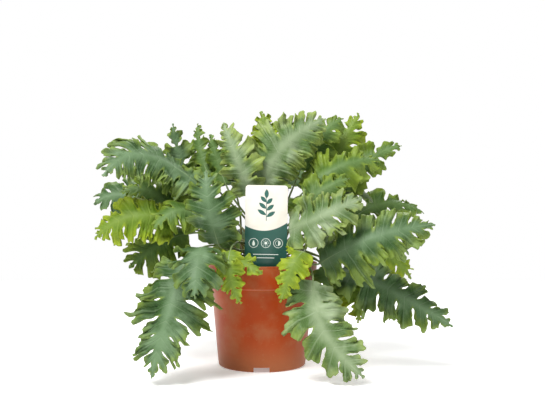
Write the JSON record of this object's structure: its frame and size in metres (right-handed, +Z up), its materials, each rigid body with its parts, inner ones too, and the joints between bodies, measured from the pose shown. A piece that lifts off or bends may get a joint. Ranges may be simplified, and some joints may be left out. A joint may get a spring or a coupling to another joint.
{
  "type": "potted fern",
  "caption": "Golden polypody fern with waved, deeply lobed blue-green fronds spreading and hanging from a terracotta-coloured nursery pot, with a plain plant label.",
  "frame": {"origin": "middle of the pot's foot, on the surface that it stands on", "axes": "+Z up; the label and the side seen in the picture face -Y; +X is to the right seen from the front"},
  "size_m": [0.3918, 0.2904, 0.2797],
  "materials": {
    "pot": "satin moulded plastic",
    "soil": null,
    "rhizome": null,
    "label": "satin printed plastic",
    "frond_blue": null,
    "frond_green": null,
    "frond_pale": null,
    "frond_lime": null
  },
  "bodies": {
    "root": {"pot": "pot", "soil": "soil", "rhizome": "rhizome", "label": "label", "frond_front_left_hanging": "frond_blue", "frond_front_right_hanging": "frond_pale", "frond_rim_right_small": "frond_lime", "frond_front_left_upright": "frond_blue", "frond_front_left_nodding": "frond_blue", "frond_right_low_long": "frond_blue", "frond_right_mid_long": "frond_blue", "frond_right_pale": "frond_pale", "frond_top_pale": "frond_pale", "frond_top_left_pale": "frond_pale", "frond_upper_left_long": "frond_blue", "frond_right_upper_long": "frond_green", "frond_left_lime": "frond_lime", "frond_left_dark": "frond_blue", "frond_left_low": "frond_green", "frond_left_inner": "frond_green", "frond_rim_left_small": "frond_lime", "frond_low_left_lime": "frond_lime", "frond_right_far": "frond_green", "frond_right_lime": "frond_lime", "frond_top_right_lime": "frond_lime", "frond_back_1": "frond_green", "frond_back_2": "frond_blue", "frond_back_3": "frond_green", "frond_back_4": "frond_green", "frond_back_5": "frond_blue", "frond_back_6": "frond_green", "frond_left_top_inner": "frond_green", "frond_left_mid": "frond_green", "frond_upper_left_thin": "frond_blue", "frond_top_left": "frond_green", "frond_top_left_curl": "frond_green", "frond_top_ridge": "frond_green", "frond_top_middle_lime": "frond_lime", "frond_top_right_fringe": "frond_green", "frond_right_inner": "frond_green", "frond_right_curl": "frond_pale", "frond_low_right_lime": "frond_lime", "frond_low_right_dark": "frond_green", "frond_label_left_small": "frond_green"}
  },
  "joints": []
}
